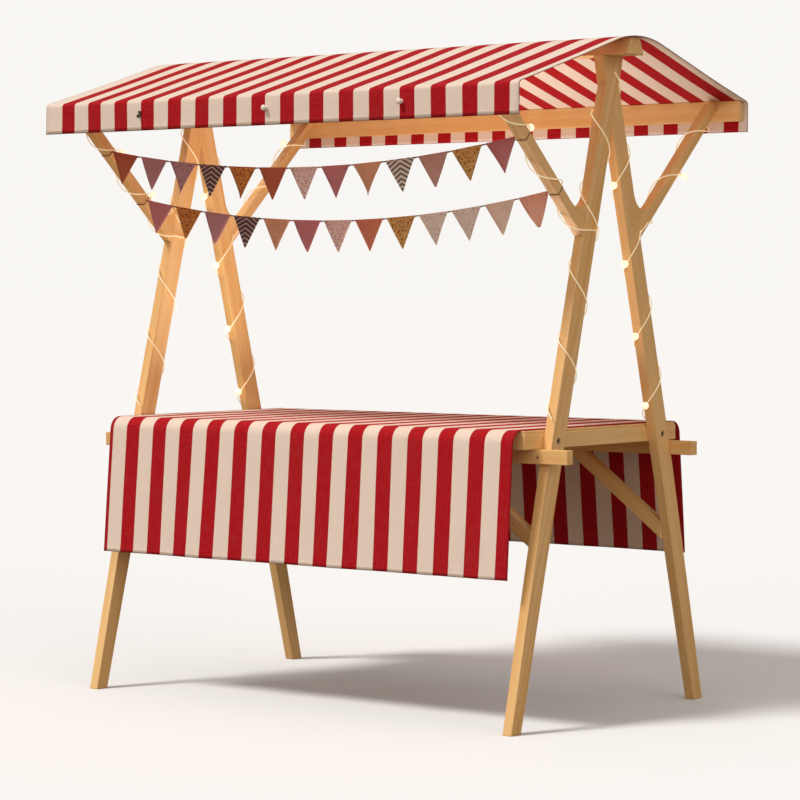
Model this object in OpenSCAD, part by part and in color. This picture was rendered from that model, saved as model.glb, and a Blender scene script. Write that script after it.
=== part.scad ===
// Wooden market stall: two crossed-leg side frames, a ridge beam and eave rails under a striped
// canopy, and a table with a striped cloth. X runs along the stall, -Y is the customer's side,
// and the origin is on the floor at the middle.

/* [Side frames] */
// Length over the outer faces of the two side frames
frame_l = 1798; // [1400:1:2400]
// Spread of the feet, front to back, at the floor
foot_spread = 1104; // [900:1:1400]
// Thickness of the leg timber along the stall
leg_t = 35; // [28:1:45]
// Level width of a leg above the table
leg_w = 73; // [60:1:90]
// Level width of a leg at the floor
foot_w = 53; // [40:1:70]
// Drop from the ridge beam's underside to where the inner edges of a pair of legs meet
crossing_drop = 232; // [180:1:280]
// Height above an eave rail's lower edge at which a brace's underside meets the rail
brace_seat = 38; // [25:1:50]
// Slope of the canopy braces above level, in degrees
brace_angle = 43; // [38:1:48]
// Width of a canopy brace, seen from the end of the stall
brace_w = 35; // [28:1:45]
// Radius of the shoulder between a brace and its leg
shoulder_r = 60; // [20:1:80]

/* [Canopy] */
// How far the canopy passes the side frames at each end
canopy_over = 91; // [60:1:150]
// Depth of the canopy over both valances
canopy_d = 1320; // [1200:1:1600]
// Slope of the canopy below level, in degrees
roof_angle = 16.7; // [12:0.1:21]
// Radius of the soft crest of the stiff canopy cloth
crest_r = 450; // [100:1:600]
// Height of the valance's lower edge below the eave
valance_drop = 101; // [80:1:160]
// Thickness of the heavy canopy cloth
cloth_t = 3; // [1:0.5:4]
// Width of the ridge beam's underside
ridge_w = 97; // [70:1:120]
// Width of the ridge beam's upper face
ridge_top_w = 50; // [30:1:60]
// Height of the ridge beam, floor to its underside
ridge_h = 2130; // [2000:1:2600]
// Height of the ridge beam's section
ridge_t = 55; // [40:1:70]
// Thickness of an eave rail
rail_t = 25; // [18:1:30]
// Height of an eave rail's inner face
rail_h = 70; // [50:1:90]
// How far the timber stops short of the canopy's end
end_inset = 4; // [2:1:20]
// Diameter of a valance knob
knob_d = 20; // [12:1:30]
// Distance between valance knobs
knob_pitch = 552; // [400:1:700]

/* [Table] */
// Height of the table board's upper face
table_h = 939; // [780:1:1150]
// Depth of the table over its front and rear aprons
table_d = 868; // [820:1:900]
// Height of the table's aprons
apron_h = 50; // [40:1:60]
// Thickness of the aprons
apron_t = 20; // [15:1:25]
// Thickness of the table board, which lies on the aprons
board_t = 9; // [6:1:18]
// How far the board stops short of the end aprons' outer faces
board_inset = 4; // [0:1:15]
// Height of the long beams that carry the table
beam_h = 46; // [35:1:60]
// Thickness of the long beams
beam_t = 33; // [25:1:40]
// Depth of the housing that each leg has for its long beam, at the beam's lower edge
beam_housing = 9; // [6:1:20]
// How far each long beam runs past the side frame
beam_over = 86; // [40:1:110]
// Depth of a knee brace, across its length
knee_w = 45; // [35:1:55]
// Slope of the knee braces below level, in degrees
knee_angle = 36.5; // [30:0.5:42]
// Drop from the long beam's underside to the knee brace's lower corner on the leg
knee_drop = 282; // [230:1:330]

/* [Tablecloth] */
// Height of the front drop's lower edge above the floor
front_hem_h = 477; // [400:1:600]
// Height of the rear drop's lower edge above the floor
rear_hem_h = 494; // [400:1:600]
// Radius of the soft roll where the stiff cloth leaves the table
roll_r = 46; // [20:1:60]
// How far a hem stands out from the foot of its roll
hem_flare = 33; // [0:1:40]
// How far the cloth stops short of the right side frame
cloth_short = 13; // [1:1:40]
// Thickness of the tablecloth
tablecloth_t = 2.5; // [1:0.5:4]

/* [Bunting and lights] */
// Level width of a flag
flag_w = 118; // [80:1:140]
// Least room between neighbouring flags
flag_room = 14; // [4:1:40]
// Length of a flag from the line to its point
flag_h = 106; // [80:1:140]
// Diameter of the bunting line
line_d = 4; // [3:0.5:6]
// Sag of the upper bunting line at the middle of the stall
upper_sag = 76; // [30:1:100]
// Sag of the lower bunting line at the middle of the stall
lower_sag = 83; // [30:1:100]
// Height of the upper line's ends above the foot of the canopy braces
upper_tie = 306; // [250:1:330]
// Height of the lower line's ends above the foot of the canopy braces
lower_tie = 142; // [100:1:200]
// Diameter of the light wire
wire_d = 3; // [2:0.5:4]
// Length of leg or brace that one turn of wire takes
wire_pitch = 240; // [180:1:300]
// Diameter of a globe lamp
lamp_d = 25; // [15:1:30]

/* [Hidden] */

pine = [0.88, 0.68, 0.42];
red = [0.76, 0.08, 0.14];
cream = [0.93, 0.88, 0.80];
wire_white = [0.95, 0.88, 0.72];
line_brown = [0.35, 0.22, 0.18];

gap = 0.3;                       // running gap between cloth and timber
frame_x = frame_l / 2;           // outer face of a side frame
leg_in_x = frame_x - leg_t;      // inner face of a side frame
leg_mid_x = frame_x - leg_t / 2;
crotch_h = ridge_h - crossing_drop;            // where the inner edges of two legs meet
lean = (foot_spread / 2 - foot_w) / crotch_h;  // level shift of a leg for each unit of height

// Canopy surfaces
canopy_x = frame_x + canopy_over;
timber_x = canopy_x - end_inset;
eave_y = canopy_d / 2;
roof_slope = tan(roof_angle);
crest_in_r = crest_r - cloth_t;
crest_z = ridge_h + ridge_t + gap - sqrt(pow(crest_in_r, 2) - pow(ridge_top_w / 2, 2));
rail_out_y = eave_y - cloth_t - gap;
rail_in_y = rail_out_y - rail_t;

// Table
apron_z = table_h - board_t - apron_h;
beam_z = apron_z - beam_h;
beam_x = frame_x + beam_over;
knee_foot_h = beam_z - knee_drop;

// Height of a face of the roof cloth at a distance y from the ridge: round to the radius r about
// the crest's centre, and straight beyond the crest
function roof_face(y, r) = y < r * sin(roof_angle)
    ? crest_z + sqrt(r * r - y * y)
    : crest_z + r / cos(roof_angle) - roof_slope * y;
function over_roof(y) = roof_face(y, crest_r);
function under_roof(y) = roof_face(y, crest_in_r);
eave_h = over_roof(eave_y);
// Distance of a leg's inner and outer edges from the middle plane, at a height z
function leg_inner(z) = lean * (crotch_h - z);
straight_below = 30;             // a leg keeps its width this far below the beam
taper_h = beam_z - straight_below;
function leg_outer(z) = z > taper_h
    ? leg_inner(z) + leg_w
    : foot_spread / 2 + (leg_inner(taper_h) + leg_w - foot_spread / 2) * z / taper_h;
function leg_axis(z) = (leg_inner(z) + leg_outer(z)) / 2;
beam_in_y = leg_outer(beam_z) - beam_housing;

function reverse(v) = [for (i = [len(v) - 1:-1:0]) v[i]];

// Draws a front-to-back outline, given for the rear side, as a plate from x0 to x1
module plate(x0, x1) {
    translate([x0, 0, 0]) rotate([90, 0, 90]) linear_extrude(x1 - x0) children();
}

// Puts a rear right piece in one of the four corners
module corner(sx, sy) {
    mirror([sx < 0 ? 1 : 0, 0, 0]) mirror([0, sy < 0 ? 1 : 0, 0]) children();
}

// ---- Legs -----------------------------------------------------------------------------------
module leg_outline() {
    difference() {
        polygon([
            [leg_inner(0), 0],
            [leg_outer(0), 0],
            [leg_outer(taper_h), taper_h],
            [leg_outer(ridge_h), ridge_h],
            [leg_inner(ridge_h), ridge_h]
        ]);
        translate([beam_in_y, beam_z]) square([leg_w, beam_h]);
    }
}

// Half of the crossing joint is cut from the inner side of a front leg and from the outer
// side of a rear leg, so that the four faces of the pair lie flush
module leg(sx, sy) {
    half = leg_t / 2;
    cut_x = sy < 0 ? leg_in_x : leg_mid_x;
    color(pine) corner(sx, sy) difference() {
        plate(leg_in_x, frame_x) leg_outline();
        plate(sy < 0 ? leg_in_x - 1 : cut_x, sy < 0 ? leg_mid_x : frame_x + 1)
            mirror([1, 0]) leg_outline();
    }
}

// ---- Canopy timber --------------------------------------------------------------------------
module ridge_beam() {
    color(pine) plate(-timber_x, timber_x) polygon([
        [-ridge_w / 2, ridge_h],
        [ridge_w / 2, ridge_h],
        [ridge_top_w / 2, ridge_h + ridge_t],
        [-ridge_top_w / 2, ridge_h + ridge_t]
    ]);
}

module eave_rail(sy) {
    color(pine) corner(1, sy) plate(-timber_x, timber_x) polygon([
        [rail_in_y, rail_base],
        [rail_out_y, rail_base],
        [rail_out_y, under_roof(rail_out_y) - gap],
        [rail_in_y, under_roof(rail_in_y) - gap]
    ]);
}

// A brace rises from the leg's outer edge to the rail's inner face. Its upper corner with the
// leg is rounded out to a shoulder
rail_base = under_roof(rail_in_y) - gap - rail_h;
brace_rise = tan(brace_angle);
brace_v = brace_w / cos(brace_angle);
brace_foot_h = (rail_base + brace_seat - (rail_in_y - lean * crotch_h - leg_w) * brace_rise)
    / (1 + lean * brace_rise);
brace_foot_y = leg_outer(brace_foot_h);
brace_below_cloth = 10;          // room between the brace's upper end and the roof cloth
brace_top_h = rail_base + rail_h - brace_below_cloth;
function brace_low(y) = brace_foot_h + (y - brace_foot_y) * brace_rise;
leg_angle = 90 + atan(lean);     // direction of a leg's outer edge, from level outwards
joint_z = (brace_foot_h + brace_v + (lean * crotch_h + leg_w - brace_foot_y) * brace_rise)
    / (1 + lean * brace_rise);
joint_y = leg_outer(joint_z);
half_turn = (leg_angle - brace_angle) / 2;
shoulder_mid = brace_angle + half_turn;
shoulder_y = joint_y + shoulder_r / sin(half_turn) * cos(shoulder_mid);
shoulder_z = joint_z + shoulder_r / sin(half_turn) * sin(shoulder_mid);
shoulder_steps = 8;
shoulder = [for (i = [0:shoulder_steps])
    let (turn = brace_angle - 90 - (180 - 2 * half_turn) * i / shoulder_steps)
    [shoulder_y + shoulder_r * cos(turn), shoulder_z + shoulder_r * sin(turn)]];

module canopy_brace(sx, sy) {
    color(pine) corner(sx, sy) plate(leg_in_x, frame_x) polygon(concat(
        [[brace_foot_y, brace_foot_h],
        [rail_in_y, brace_low(rail_in_y)],
        [rail_in_y, brace_top_h],
        [rail_in_y - (brace_low(rail_in_y) + brace_v - brace_top_h) / brace_rise, brace_top_h]],
        shoulder));
}

// ---- Table ----------------------------------------------------------------------------------
module table_beam(sy) {
    color(pine) corner(1, sy) translate([-beam_x, beam_in_y, beam_z])
        cube([2 * beam_x, beam_t, beam_h]);
}

module end_apron(sx) {
    color(pine) corner(sx, 1) translate([leg_in_x - apron_t, -table_d / 2, apron_z])
        cube([apron_t, table_d, apron_h]);
}

module long_apron(sy) {
    color(pine) corner(1, sy) translate([-leg_in_x + apron_t, table_d / 2 - apron_t, apron_z])
        cube([2 * (leg_in_x - apron_t), apron_t, apron_h]);
}

module table_board() {
    board_l = 2 * (leg_in_x - board_inset);
    color(pine) translate([-board_l / 2, -table_d / 2, table_h - board_t])
        cube([board_l, table_d, board_t]);
}

// A knee brace rises from the leg's inner face to the underside of the long beam
module knee_brace(sx, sy) {
    knee_v = knee_w / cos(knee_angle);
    reach = (beam_z - knee_foot_h) / tan(knee_angle);
    color(pine) corner(sx, sy) translate([0, beam_in_y + beam_t, 0]) rotate([90, 0, 0])
        linear_extrude(beam_t) polygon([
            [leg_in_x, knee_foot_h],
            [leg_in_x, knee_foot_h + knee_v],
            [leg_in_x - reach + knee_v / tan(knee_angle), beam_z],
            [leg_in_x - reach, beam_z]
        ]);
}

// ---- Canopy cloth ---------------------------------------------------------------------------
crest_steps = 6;
function crest_arc(r) = [for (i = [0:crest_steps])
    let (a = roof_angle * i / crest_steps) [r * sin(a), crest_z + r * cos(a)]];

module roof_cloth(sy) {
    color(sy < 0 ? red : cream) corner(1, sy) plate(-canopy_x, canopy_x) polygon(concat(
        crest_arc(crest_r),
        [[eave_y, over_roof(eave_y)], [eave_y, under_roof(eave_y)]],
        reverse(crest_arc(crest_in_r))));
}

module valance(sy) {
    in_y = eave_y - cloth_t;
    color(sy < 0 ? cream : red) corner(1, sy) plate(-canopy_x, canopy_x) polygon([
        [in_y, eave_h - valance_drop],
        [eave_y, eave_h - valance_drop],
        [eave_y, under_roof(eave_y)],
        [in_y, under_roof(in_y)]
    ]);
}

// Knobs on both valances, each a short neck and a flattened ball
module valance_knobs() {
    neck = 4;
    for (i = [-1:1], sy = [-1, 1])
        color("ivory") corner(1, sy) translate([i * knob_pitch, eave_y, eave_h - valance_drop * 0.45])
            rotate([-90, 0, 0]) rotate_extrude($fn = 32) union() {
                square([knob_d / 4, neck]);
                translate([0, neck]) polygon([for (a = [-60:15:90])
                    [a == 90 ? 0 : knob_d / 2 * cos(a), knob_d / 2 * (sin(a) + sin(60))],
                    [0, 0]]);
            }
}

// ---- Tablecloth -----------------------------------------------------------------------------
cloth_left = -leg_in_x + gap;
cloth_right = leg_in_x - cloth_short;
cloth_z = table_h + gap;
roll_z = cloth_z + tablecloth_t - roll_r;    // centre of the roll, level with the table's edge
roll_y = table_d / 2;

module tablecloth_top() {
    color(red) plate(cloth_left, cloth_right) translate([-roll_y, cloth_z])
        square([2 * roll_y, tablecloth_t]);
}

// A quarter circle round the roll's centre
function roll_arc(r) = [for (a = [0:6:90]) [roll_y + r * cos(a), roll_z + r * sin(a)]];

// A drop leaves the table in a quarter roll and then leans out to its hem
module tablecloth_drop(sy) {
    hem_h = sy < 0 ? front_hem_h : rear_hem_h;
    hem_y = roll_y + roll_r + hem_flare;
    color(red) corner(1, sy) plate(cloth_left, cloth_right) polygon(concat(
        [[hem_y - tablecloth_t, hem_h], [hem_y, hem_h]],
        roll_arc(roll_r),
        reverse(roll_arc(roll_r - tablecloth_t))));
}

// ---- Swept wires and lines ------------------------------------------------------------------
wire_sides = 8;
function unit(v) = v / norm(v);
function along(path, i) = unit(path[min(i + 1, len(path) - 1)] - path[max(i - 1, 0)]);
// A ring of points round one point of a path. The ring's first axis is square to side
function ring(path, i, r, side) =
    let (t = along(path, i), u = unit(cross(t, side)), v = cross(t, u))
    [for (k = [0:wire_sides - 1])
        path[i] + r * (cos(360 * k / wire_sides) * u + sin(360 * k / wire_sides) * v)];

module tube(path, d, side) {
    n = len(path);
    points = [for (i = [0:n - 1]) each ring(path, i, d / 2, side)];
    walls = [for (i = [0:n - 2], k = [0:wire_sides - 1])
        let (a = i * wire_sides, b = a + wire_sides, m = (k + 1) % wire_sides)
        each [[a + k, b + k, b + m], [a + k, b + m, a + m]]];
    caps = [[for (k = [0:wire_sides - 1]) k],
        [for (k = [wire_sides - 1:-1:0]) (n - 1) * wire_sides + k]];
    polyhedron(points, concat(walls, caps));
}

// ---- Bunting --------------------------------------------------------------------------------
line_steps = 28;
line_end_x = leg_in_x - gap;
upper_line_h = brace_foot_h + upper_tie;
lower_line_h = brace_foot_h + lower_tie;
flags = floor(2 * line_end_x / (flag_w + flag_room));
function brace_mid_y(z) = brace_foot_y + (z - brace_foot_h - brace_v / 2) / brace_rise;
// A shallow hanging line, as a parabola
function line_z(x, end_h, sag) = end_h - sag * (1 - pow(x / line_end_x, 2));
function line_path(end_h, sag) = [for (i = [0:line_steps])
    let (x = line_end_x * (2 * i / line_steps - 1))
    [x, -brace_mid_y(end_h), line_z(x, end_h, sag)]];

module bunting_line(end_h, sag) {
    color(line_brown) tube(line_path(end_h, sag), line_d, [0, 1, 0]);
}

module bunting_flags(end_h, sag) {
    pitch = (2 * line_end_x) / flags;
    for (i = [0:flags - 1]) {
        x = (i + 0.5) * pitch - line_end_x;
        tilt = atan(2 * sag * x / pow(line_end_x, 2));
        color([0.55 + 0.25 * (i % 2), 0.35, 0.28 + 0.1 * (i % 3)])
            translate([x, -brace_mid_y(end_h), line_z(x, end_h, sag)]) rotate([90, -tilt, 0])
            translate([0, 0, -0.5]) linear_extrude(1) polygon([
                [-flag_w / 2, -line_d / 2 - gap],
                [flag_w / 2, -line_d / 2 - gap],
                [0, -line_d / 2 - gap - flag_h]
            ]);
    }
}

// ---- Light wires ----------------------------------------------------------------------------
turn_steps = 14;
wire_out_x = leg_t / 2 * sqrt(2) + wire_d;       // half widths of the oval that a turn follows
function oval_y(w) = w / 2 * sqrt(2) + wire_d;
leg_wire_low = table_h + 51;
leg_wire_top = brace_foot_h - 70;
brace_dir = [0, cos(brace_angle), sin(brace_angle)];
brace_out = [0, -sin(brace_angle), cos(brace_angle)];
brace_start = [leg_mid_x, brace_foot_y, brace_foot_h] + brace_out * brace_w / 2;
brace_wire_from = 190;
brace_wire_to = 520;

// Turns round a leg, from the table up to below the brace
leg_wire = [for (i = [0:ceil(turn_steps * (leg_wire_top - leg_wire_low) / wire_pitch)])
    let (a = 360 * i / turn_steps, z = leg_wire_low + wire_pitch * i / turn_steps,
        w = (leg_outer(z) - leg_inner(z)) * cos(atan(lean)))
    [leg_mid_x + wire_out_x * cos(a), leg_axis(z) - oval_y(w) * sin(a), z]];

// Turns round a brace, from above its shoulder to below the eave rail
brace_wire = [for (i = [0:floor(turn_steps * (brace_wire_to - brace_wire_from) / wire_pitch)])
    let (a = 360 * i / turn_steps, s = brace_wire_from + wire_pitch * i / turn_steps)
    brace_start + brace_dir * s + brace_out * oval_y(brace_w) * sin(a)
        + [wire_out_x * cos(a), 0, 0]];

module light_wire(sx, sy) {
    color(wire_white) corner(sx, sy) {
        tube(leg_wire, wire_d, [0, lean, -1]);
        tube(brace_wire, wire_d, brace_dir);
    }
}

// One turn and a half round the crossed heads of a pair of legs
head_wire_low = crotch_h - 30;
head_wire_top = ridge_h - 60;
head_turns = 1.5;
head_steps = 30;
head_wire = [for (i = [0:head_steps])
    let (a = 360 * head_turns * i / head_steps - 90,
        z = head_wire_low + (head_wire_top - head_wire_low) * i / head_steps,
        half_y = max(leg_outer(z), -leg_inner(z)))
    [leg_mid_x + wire_out_x * cos(a), oval_y(2 * half_y) * sin(a), z]];

module head_light_wire(sx) {
    color(wire_white) corner(sx, 1) tube(head_wire, wire_d, [0, 0, 1]);
}

// Globe lamps sit on the outer side of the wire, one on each full turn
lamp_shift = lamp_d / 2 + wire_d / 2 + 0.2;
lamp_phase = 5;
module globe_lamps(sx) {
    for (sy = [-1, 1]) color("white") corner(sx, sy) {
        for (i = [lamp_phase:turn_steps:len(leg_wire) - 1])
            let (p = leg_wire[i], mid = [leg_mid_x, leg_axis(p[2]), p[2]])
            translate(p + unit(p - mid) * lamp_shift) sphere(d = lamp_d, $fn = 32);
        for (i = [lamp_phase:turn_steps:len(brace_wire) - 1])
            let (p = brace_wire[i], s = brace_wire_from + wire_pitch * i / turn_steps)
            translate(p + unit(p - brace_start - brace_dir * s) * lamp_shift)
                sphere(d = lamp_d, $fn = 32);
    }
}

leg(-1, -1);  // front_left_leg
leg(-1, 1);  // rear_left_leg
leg(1, -1);  // front_right_leg
leg(1, 1);  // rear_right_leg
ridge_beam();
eave_rail(-1);  // front_eave_rail
eave_rail(1);  // rear_eave_rail
canopy_brace(-1, -1);  // front_left_canopy_brace
canopy_brace(-1, 1);  // rear_left_canopy_brace
canopy_brace(1, -1);  // front_right_canopy_brace
canopy_brace(1, 1);  // rear_right_canopy_brace
table_beam(-1);  // front_table_beam
table_beam(1);  // rear_table_beam
end_apron(-1);  // left_end_apron
end_apron(1);  // right_end_apron
long_apron(-1);  // front_apron
long_apron(1);  // rear_apron
table_board();
knee_brace(-1, -1);  // front_left_knee_brace
knee_brace(-1, 1);  // rear_left_knee_brace
knee_brace(1, -1);  // front_right_knee_brace
knee_brace(1, 1);  // rear_right_knee_brace
roof_cloth(-1);  // front_roof_cloth
roof_cloth(1);  // rear_roof_cloth
valance(-1);  // front_valance
valance(1);  // rear_valance
valance_knobs();
tablecloth_top();
tablecloth_drop(-1);  // tablecloth_front_drop
tablecloth_drop(1);  // tablecloth_rear_drop
bunting_line(upper_line_h, upper_sag);  // upper_bunting_line
bunting_line(lower_line_h, lower_sag);  // lower_bunting_line
bunting_flags(upper_line_h, upper_sag);  // upper_bunting_flags
bunting_flags(lower_line_h, lower_sag);  // lower_bunting_flags
light_wire(-1, -1);  // front_left_light_wire
light_wire(-1, 1);  // rear_left_light_wire
light_wire(1, -1);  // front_right_light_wire
light_wire(1, 1);  // rear_right_light_wire
head_light_wire(-1);  // left_head_light_wire
head_light_wire(1);  // right_head_light_wire
globe_lamps(-1);  // left_globe_lamps
globe_lamps(1);  // right_globe_lamps
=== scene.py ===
# %% [markdown]
# # Dressing a wooden market stall
# The stall is a frame of planed pine with a striped canopy, a table with a striped cloth, two
# lines of bunting and a string of small globe lights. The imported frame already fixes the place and
# size of every timber. This script gives each piece what the frame lacks: eased edges, grain,
# bolts, stitched cloth and printed flags. Everything is in metres, X runs along the stall and the
# customer stands on the -Y side.

# %% The fixed frame
from itertools import product
from math import cos, pi, radians, sin, sqrt, tan, tau

import bmesh
import bpy
from mathutils import Matrix, Vector, noise


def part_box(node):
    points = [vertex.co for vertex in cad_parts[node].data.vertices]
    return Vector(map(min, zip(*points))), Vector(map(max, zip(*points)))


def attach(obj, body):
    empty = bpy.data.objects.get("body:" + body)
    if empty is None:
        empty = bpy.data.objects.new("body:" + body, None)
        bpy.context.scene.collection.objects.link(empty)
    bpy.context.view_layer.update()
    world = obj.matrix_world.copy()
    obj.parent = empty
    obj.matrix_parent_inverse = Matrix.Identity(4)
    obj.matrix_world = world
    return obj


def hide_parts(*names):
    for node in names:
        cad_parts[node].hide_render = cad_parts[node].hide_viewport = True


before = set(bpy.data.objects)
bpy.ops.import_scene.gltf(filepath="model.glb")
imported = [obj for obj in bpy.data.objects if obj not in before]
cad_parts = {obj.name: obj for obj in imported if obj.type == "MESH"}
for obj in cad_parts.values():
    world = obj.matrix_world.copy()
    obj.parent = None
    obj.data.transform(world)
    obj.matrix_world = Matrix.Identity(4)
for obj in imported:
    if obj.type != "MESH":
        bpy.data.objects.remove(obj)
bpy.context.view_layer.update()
scene = bpy.context.scene

# %% [markdown]
# ## The camera
# A long lens from the customer's right, a little above the table, shows the front, the right end
# and the underside of the canopy at once. A short lens closer by would spread the legs apart, so
# the camera stands ten metres away.

# %% The camera
camera_data = bpy.data.cameras.new("camera")
camera_data.sensor_width = 36
camera_data.lens = 133.8
camera = bpy.data.objects.new("camera", camera_data)
camera.location = (6.2487, -7.9684, 1.3875)
look_down = radians(2.17)
camera.rotation_euler = (pi / 2 - look_down, 0, radians(37.956))
scene.collection.objects.link(camera)
scene.camera = camera
print("the camera is", round(camera.location.length, 2), "m from the middle of the floor")

# %% [markdown]
# ## Making a piece from a mesh
# Every piece below ends the same way: a bmesh becomes a mesh, gets its finishes, and rides with
# the frame. Small parts that repeat, such as lamps, are made once, copied to their places and
# joined, so that one piece holds them all.


# %% Helpers for pieces
def mesh_of(form, name):
    """The mesh of a bmesh, which is used up."""
    mesh = bpy.data.meshes.new(name)
    form.to_mesh(mesh)
    form.free()
    return mesh


def piece_from(form, name, *finishes, slot=None, stands_for=()):
    """Turns a bmesh into a finished piece that rides with the frame."""
    mesh = mesh_of(form, name)
    for finish in finishes:
        mesh.materials.append(finish)
    return set_up(bpy.data.objects.new(name, mesh), stands_for)


def set_up(piece, stands_for=()):
    """Links a piece, lets it ride, and hides the frame's nodes that it stands for."""
    scene.collection.objects.link(piece)
    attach(piece, "root")
    if stands_for:
        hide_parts(*stands_for)
    return piece


def joined(forms):
    """One bmesh that holds all the given ones."""
    whole = bmesh.new()
    for form in forms:
        scrap = mesh_of(form, "scrap")
        whole.from_mesh(scrap)
        bpy.data.meshes.remove(scrap)
    return whole


def moved(form, matrix):
    """The same bmesh, put in its place."""
    bmesh.ops.transform(form, matrix=matrix, verts=form.verts)
    return form


def smoothed(form, material=0):
    """The same bmesh, shaded smooth in one of its piece's finishes."""
    for face in form.faces:
        face.smooth = True
        face.material_index = material
    return form


def turned(outline, steps=32, material=0):
    """A bmesh turned on a lathe from (radius, height) points, with Z as its axis."""
    form = bmesh.new()
    points = [form.verts.new((radius, 0, height)) for radius, height in outline]
    lines = [form.edges.new(pair) for pair in zip(points, points[1:])]
    bmesh.ops.spin(form, geom=points + lines, axis=(0, 0, 1), cent=(0, 0, 0), angle=tau,
                   steps=steps, use_merge=True)
    bmesh.ops.remove_doubles(form, verts=form.verts, dist=1e-6)
    bmesh.ops.recalc_face_normals(form, faces=form.faces)
    return smoothed(form, material)


def facing(place, axis):
    """The matrix that stands a lathe piece at a place with its Z along the axis."""
    turn = Vector((0, 0, 1)).rotation_difference(Vector(axis).normalized())
    return Matrix.Translation(place) @ turn.to_matrix().to_4x4()


# %% [markdown]
# ## The bunting lines
# Each line is a thin brown cord tied between the two front canopy braces. It carries only light
# flags, so it hangs in a shallow parabola. The frame's node gives its ends and its lowest point,
# and the cord is drawn through the same points as a curve with a round section.

# %% The bunting lines
LINE_D = 0.004
LINE_POINTS = 29


class HangingLine:
    """A cord that hangs between two ends at the same height."""

    def __init__(self, node):
        low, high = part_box(node)
        self.end_x = high.x
        self.y = (low.y + high.y) / 2
        self.low = low.z + LINE_D / 2
        self.sag = high.z - LINE_D / 2 - self.low

    def at(self, x):
        return Vector((x, self.y, self.low + self.sag * (x / self.end_x) ** 2))

    def slope(self, x):
        return 2 * self.sag * x / self.end_x ** 2

    def points(self):
        last = LINE_POINTS - 1
        return [self.at(self.end_x * (2 * i / last - 1)) for i in range(LINE_POINTS)]


def drawn_cord(name, routes, thickness, closed=False):
    """A curve with a round section through each route's points.

    A curve's box grows by its points' radius, so the radius is the real one and the section is 1.
    """
    data = bpy.data.curves.new(name, "CURVE")
    data.dimensions = "3D"
    data.bevel_depth = 1.0
    data.bevel_resolution = 2
    data.use_fill_caps = True
    for route in routes:
        strand = data.splines.new("POLY")
        strand.points.add(len(route) - 1)
        strand.use_cyclic_u = closed
        strand.use_smooth = True
        for point, place in zip(strand.points, route):
            point.co = (*place, 1)
            point.radius = thickness / 2
    return bpy.data.objects.new(name, data)


def run_of(route):
    """The length of a route."""
    return sum((b - a).length for a, b in zip(route, route[1:]))


lines = {}
cords = {}
for level in ("upper", "lower"):
    line = HangingLine(f"{level}_bunting_line")
    route = line.points()
    cord = drawn_cord(f"{level}_line", [route], LINE_D)
    set_up(cord, [f"{level}_bunting_line"])
    lines[level] = line
    cords[level] = cord
    print(level, "line:", round(run_of(route), 3), "m long, sags", round(line.sag, 3), "m")

# %% [markdown]
# ## Writing a finish as sums
# A finish is a small program that runs at each point of a surface. Wiring it node by node hides
# what it says, so a socket is wrapped in a class with arithmetic: `1 - ring * 0.5` adds the Math
# nodes by itself. Colours don't go through Math nodes, which would turn them grey. They are mixed.


# %% Sockets with arithmetic
def maths(operation, other_first=False):
    """A method that adds a Math node. With other_first it serves 1 - mask, not mask - 1."""

    def method(reading, *others):
        terms = (*others, reading) if other_first else (reading, *others)
        return reading.finish.node("ShaderNodeMath", dict(enumerate(terms)), operation=operation)

    return method


class Reading:
    """A number or colour that varies over a surface."""

    def __init__(self, finish, socket):
        self.finish = finish
        self.socket = socket

    __add__ = __radd__ = maths("ADD")
    __sub__ = maths("SUBTRACT")
    __rsub__ = maths("SUBTRACT", other_first=True)
    __mul__ = __rmul__ = maths("MULTIPLY")
    __pow__ = maths("POWER")
    __abs__ = maths("ABSOLUTE")
    wave = maths("SINE")
    root = maths("SQRT")
    above = maths("GREATER_THAN")
    least = maths("MINIMUM")

    def held(self):
        """The same number, kept from 0 to 1."""
        return self.finish.node("ShaderNodeClamp", {"Value": self})

    def ramp(self, low, high):
        """0 below low, 1 above high, and a smooth step between."""
        values = {"Value": self, "From Min": low, "From Max": high}
        return self.finish.node("ShaderNodeMapRange", values, interpolation_type="SMOOTHSTEP")


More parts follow.
